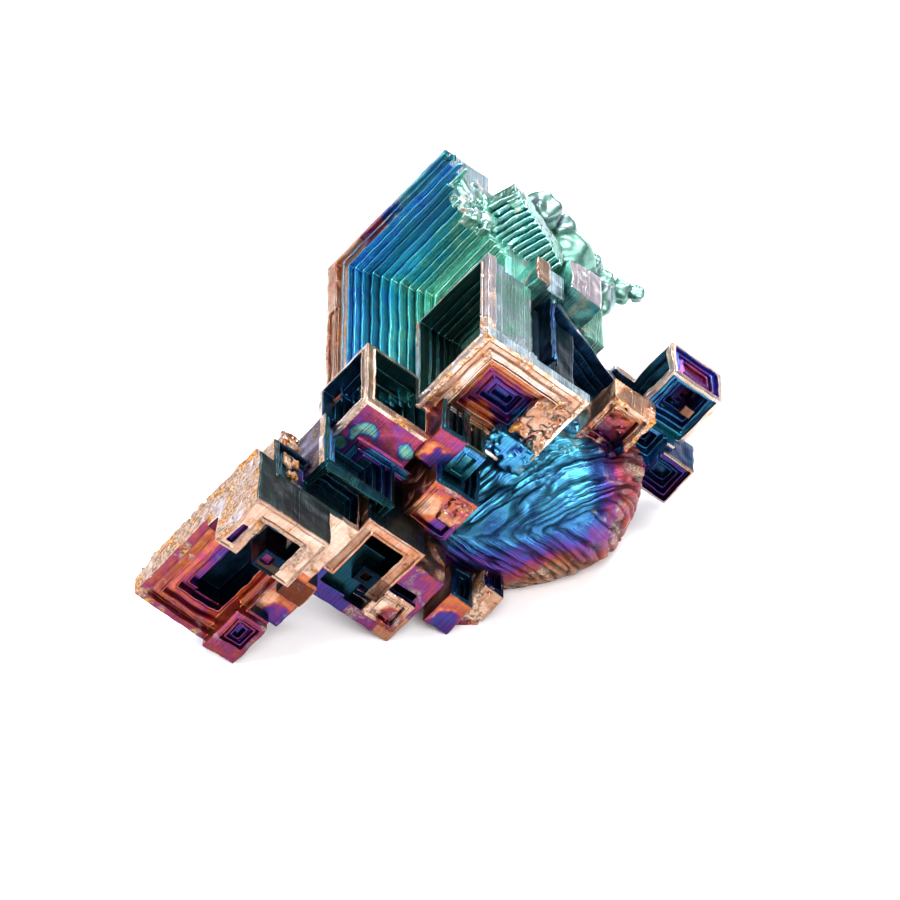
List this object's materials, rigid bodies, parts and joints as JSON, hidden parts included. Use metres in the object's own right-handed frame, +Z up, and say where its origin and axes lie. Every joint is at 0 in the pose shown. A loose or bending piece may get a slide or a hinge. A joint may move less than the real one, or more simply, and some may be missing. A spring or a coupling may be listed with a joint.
{
  "type": "bismuth hopper crystal",
  "caption": "Cluster of stepped cubic hopper crystals grown together as one solid, with terraced pits and a ribbed dome, lying on its base.",
  "frame": {"origin": "middle of the footprint's bounding box, on the surface that the cluster lies on", "axes": "+Z up; +X to the right along the longest extent; -Y towards the side seen in the picture; the c axis of the cubic lattice lies along Y, and its a and b axes are turned about Y, down to the right and down to the left"},
  "size_m": [0.0528, 0.0458, 0.029],
  "materials": {
    "oxide_bismuth": "bare bismuth under a thin iridescent oxide film, from tan and magenta to blue and green"
  },
  "bodies": {
    "root": {"bismuth_crystal": "oxide_bismuth"}
  },
  "joints": []
}
